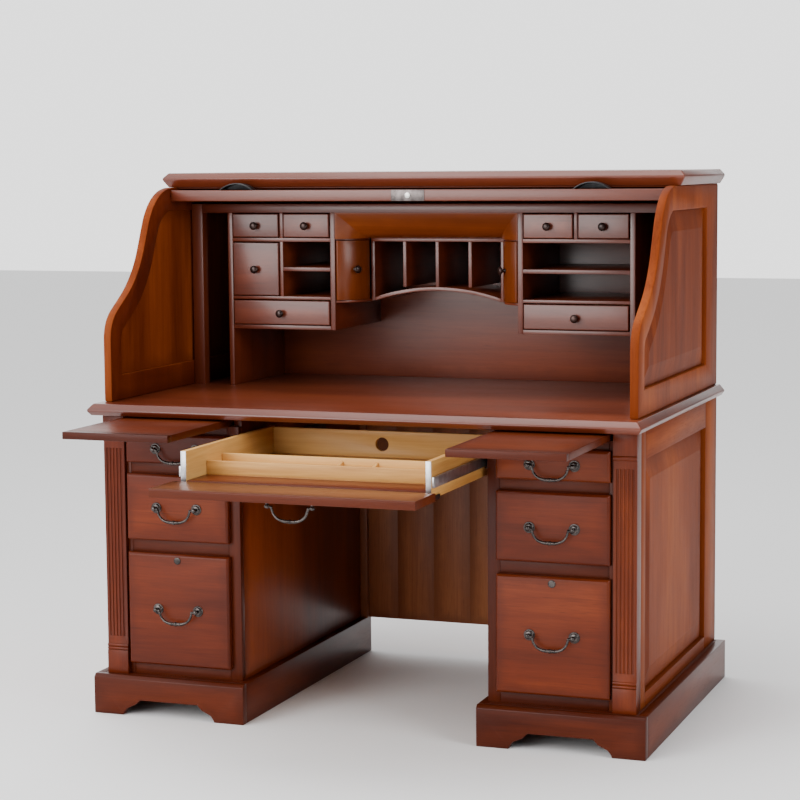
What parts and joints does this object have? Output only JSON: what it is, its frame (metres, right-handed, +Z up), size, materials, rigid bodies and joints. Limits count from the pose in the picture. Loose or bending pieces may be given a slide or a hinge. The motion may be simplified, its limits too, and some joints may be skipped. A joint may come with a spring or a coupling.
{
  "type": "roll top desk",
  "caption": "Double-pedestal roll top desk in red-brown cherry with a fitted gallery, raised panels, bail pulls and a drop-front keyboard drawer.",
  "frame": {"origin": "on the floor under the middle of the desk, with its slides and keyboard drawer drawn out", "axes": "+Z up, drawers open towards -Y, +X to the right as the user sits"},
  "size_m": [1.3874, 1.3, 1.3166],
  "materials": {
    "cherry": "satin lacquer, red-brown stain",
    "cherry_light": "satin lacquer, orange-brown stain",
    "maple": "clear satin lacquer",
    "dark_bronze": "antiqued dark bronze",
    "nickel": "satin nickel",
    "black_steel": "black zinc, with a bright edge"
  },
  "bodies": {
    "desk": {"desktop": "cherry", "drawer_runners": "maple", "frieze_moulding": "cherry_light", "gallery_case": "cherry", "hutch_back": "cherry", "keyboard_slides_outer": "black_steel", "left_face_frame": "cherry", "left_hutch_side": "cherry", "left_inner_side": "cherry", "left_outer_side": "cherry", "left_pilaster": "cherry", "left_plinth": "cherry", "letter_rack": "cherry", "modesty_panel": "cherry", "pedestal_backs": "cherry", "raised_panels": "cherry", "right_face_frame": "cherry", "right_hutch_side": "cherry", "right_inner_side": "cherry", "right_outer_side": "cherry", "right_pilaster": "cherry", "right_plinth": "cherry", "top_board": "cherry", "top_rail": "cherry"},
    "left_file_drawer": {"left_file_drawer": "cherry"},
    "left_file_drawer_pull": {"left_file_drawer_pull": "dark_bronze"},
    "left_middle_drawer": {"left_middle_drawer": "cherry"},
    "left_middle_drawer_pull": {"left_middle_drawer_pull": "dark_bronze"},
    "left_top_drawer": {"left_top_drawer": "cherry"},
    "left_top_drawer_pull": {"left_top_drawer_pull": "dark_bronze"},
    "right_file_drawer": {"right_file_drawer": "cherry"},
    "right_file_drawer_pull": {"right_file_drawer_pull": "dark_bronze"},
    "right_middle_drawer": {"right_middle_drawer": "cherry"},
    "right_middle_drawer_pull": {"right_middle_drawer_pull": "dark_bronze"},
    "right_top_drawer": {"right_top_drawer": "cherry"},
    "right_top_drawer_pull": {"right_top_drawer_pull": "dark_bronze"},
    "keyboard_drawer": {"keyboard_drawer": "maple", "pencil_tray": "maple", "keyboard_slides_inner": "black_steel", "drop_front_hinges": "black_steel"},
    "drop_front": {"drop_front": "cherry"},
    "drop_front_pull": {"drop_front_pull": "dark_bronze"},
    "left_writing_slide": {"left_writing_slide": "cherry"},
    "right_writing_slide": {"right_writing_slide": "cherry"},
    "left_outer_small_drawer": {"left_outer_small_drawer": "cherry"},
    "left_inner_small_drawer": {"left_inner_small_drawer": "cherry"},
    "left_wide_drawer": {"left_wide_drawer": "cherry"},
    "right_outer_small_drawer": {"right_outer_small_drawer": "cherry"},
    "right_inner_small_drawer": {"right_inner_small_drawer": "cherry"},
    "right_wide_drawer": {"right_wide_drawer": "cherry"},
    "left_tall_drawer": {"left_tall_drawer": "cherry"},
    "left_curved_door": {"left_curved_door": "cherry"},
    "right_curved_door": {"right_curved_door": "cherry"},
    "tambour_rail": {"lift_rail": "cherry", "rail_lock": "nickel", "cup_pulls": "dark_bronze"},
    "tambour_slat_1": {"tambour_slat_1": "cherry"},
    "tambour_slat_2": {"tambour_slat_2": "cherry"},
    "tambour_slat_3": {"tambour_slat_3": "cherry"},
    "tambour_stored_slats": {"tambour_stored_slats": "cherry"}
  },
  "joints": [
    {"name": "left_file_drawer_slide", "type": "slide", "parent": "desk", "child": "left_file_drawer", "axis": [0, -1, 0], "range_m": [0, 0.4]},
    {"name": "left_file_drawer_pull_swing", "type": "hinge", "parent": "left_file_drawer", "child": "left_file_drawer_pull", "pos_m": [-0.47, -0.205, 0.266], "axis": [-1, 0, 0], "range_deg": [0, 90]},
    {"name": "left_middle_drawer_slide", "type": "slide", "parent": "desk", "child": "left_middle_drawer", "axis": [0, -1, 0], "range_m": [0, 0.4]},
    {"name": "left_middle_drawer_pull_swing", "type": "hinge", "parent": "left_middle_drawer", "child": "left_middle_drawer_pull", "pos_m": [-0.47, -0.205, 0.514], "axis": [-1, 0, 0], "range_deg": [0, 90]},
    {"name": "left_top_drawer_slide", "type": "slide", "parent": "desk", "child": "left_top_drawer", "axis": [0, -1, 0], "range_m": [0, 0.4]},
    {"name": "left_top_drawer_pull_swing", "type": "hinge", "parent": "left_top_drawer", "child": "left_top_drawer_pull", "pos_m": [-0.47, -0.205, 0.658], "axis": [-1, 0, 0], "range_deg": [0, 90]},
    {"name": "right_file_drawer_slide", "type": "slide", "parent": "desk", "child": "right_file_drawer", "axis": [0, -1, 0], "range_m": [0, 0.4]},
    {"name": "right_file_drawer_pull_swing", "type": "hinge", "parent": "right_file_drawer", "child": "right_file_drawer_pull", "pos_m": [0.47, -0.205, 0.266], "axis": [-1, 0, 0], "range_deg": [0, 90]},
    {"name": "right_middle_drawer_slide", "type": "slide", "parent": "desk", "child": "right_middle_drawer", "axis": [0, -1, 0], "range_m": [0, 0.4]},
    {"name": "right_middle_drawer_pull_swing", "type": "hinge", "parent": "right_middle_drawer", "child": "right_middle_drawer_pull", "pos_m": [0.47, -0.205, 0.514], "axis": [-1, 0, 0], "range_deg": [0, 90]},
    {"name": "right_top_drawer_slide", "type": "slide", "parent": "desk", "child": "right_top_drawer", "axis": [0, -1, 0], "range_m": [0, 0.4]},
    {"name": "right_top_drawer_pull_swing", "type": "hinge", "parent": "right_top_drawer", "child": "right_top_drawer_pull", "pos_m": [0.47, -0.205, 0.658], "axis": [-1, 0, 0], "range_deg": [0, 90]},
    {"name": "keyboard_drawer_slide", "type": "slide", "parent": "desk", "child": "keyboard_drawer", "axis": [0, -1, 0], "range_m": [-0.35, 0]},
    {"name": "drop_front_fold", "type": "hinge", "parent": "keyboard_drawer", "child": "drop_front", "pos_m": [0, -0.535, 0.62], "axis": [1, 0, 0], "range_deg": [-90, 0]},
    {"name": "drop_front_pull_swing", "type": "hinge", "parent": "drop_front", "child": "drop_front_pull", "pos_m": [0, -0.592, 0.601], "axis": [-1, 0, 0], "range_deg": [-85, 85]},
    {"name": "left_writing_slide_pull_out", "type": "slide", "parent": "desk", "child": "left_writing_slide", "axis": [0, -1, 0], "range_m": [-0.315, 0.035]},
    {"name": "right_writing_slide_pull_out", "type": "slide", "parent": "desk", "child": "right_writing_slide", "axis": [0, -1, 0], "range_m": [-0.349, 0]},
    {"name": "left_outer_small_drawer_slide", "type": "slide", "parent": "desk", "child": "left_outer_small_drawer", "axis": [0, -1, 0], "range_m": [0, 0.2]},
    {"name": "left_inner_small_drawer_slide", "type": "slide", "parent": "desk", "child": "left_inner_small_drawer", "axis": [0, -1, 0], "range_m": [0, 0.2]},
    {"name": "left_wide_drawer_slide", "type": "slide", "parent": "desk", "child": "left_wide_drawer", "axis": [0, -1, 0], "range_m": [0, 0.2]},
    {"name": "right_outer_small_drawer_slide", "type": "slide", "parent": "desk", "child": "right_outer_small_drawer", "axis": [0, -1, 0], "range_m": [0, 0.2]},
    {"name": "right_inner_small_drawer_slide", "type": "slide", "parent": "desk", "child": "right_inner_small_drawer", "axis": [0, -1, 0], "range_m": [0, 0.2]},
    {"name": "right_wide_drawer_slide", "type": "slide", "parent": "desk", "child": "right_wide_drawer", "axis": [0, -1, 0], "range_m": [0, 0.2]},
    {"name": "left_tall_drawer_slide", "type": "slide", "parent": "desk", "child": "left_tall_drawer", "axis": [0, -1, 0], "range_m": [0, 0.2]},
    {"name": "left_curved_door_swing", "type": "hinge", "parent": "desk", "child": "left_curved_door", "pos_m": [-0.237, 0.294, 1.0665], "axis": [0, 0, -1], "range_deg": [0, 100]},
    {"name": "right_curved_door_swing", "type": "hinge", "parent": "desk", "child": "right_curved_door", "pos_m": [0.237, 0.294, 1.0665], "axis": [0, 0, 1], "range_deg": [0, 100]},
    {"name": "tambour_roll", "type": "hinge", "parent": "desk", "child": "tambour_rail", "pos_m": [0, 0.178, 1.1275], "axis": [-1, 0, 0], "range_deg": [-65, 0]},
    {"name": "tambour_slat_1_roll", "type": "hinge", "parent": "desk", "child": "tambour_slat_1", "pos_m": [0, 0.21525, 1.0028], "axis": [-1, 0, 0], "range_deg": [-33.27, 0]},
    {"name": "tambour_slat_2_roll", "type": "hinge", "parent": "desk", "child": "tambour_slat_2", "pos_m": [0, 0.22775, 0.87868], "axis": [-1, 0, 0], "range_deg": [-22.62, 0]},
    {"name": "tambour_slat_3_roll", "type": "hinge", "parent": "desk", "child": "tambour_slat_3", "pos_m": [0, 0.24025, 0.53344], "axis": [-1, 0, 0], "range_deg": [-11.97, 0]},
    {"name": "tambour_stored_slide", "type": "slide", "parent": "desk", "child": "tambour_stored_slats", "axis": [0, 1, 0], "range_m": [-0.15269, 0]}
  ],
  "couplings": [
    {"joint": "tambour_slat_1_roll", "follows": "tambour_roll", "ratio": 0.51175},
    {"joint": "tambour_slat_2_roll", "follows": "tambour_roll", "ratio": 0.34791},
    {"joint": "tambour_slat_3_roll", "follows": "tambour_roll", "ratio": 0.18406},
    {"joint": "tambour_stored_slide", "follows": "tambour_roll", "m_per_rad": 0.1345}
  ]
}
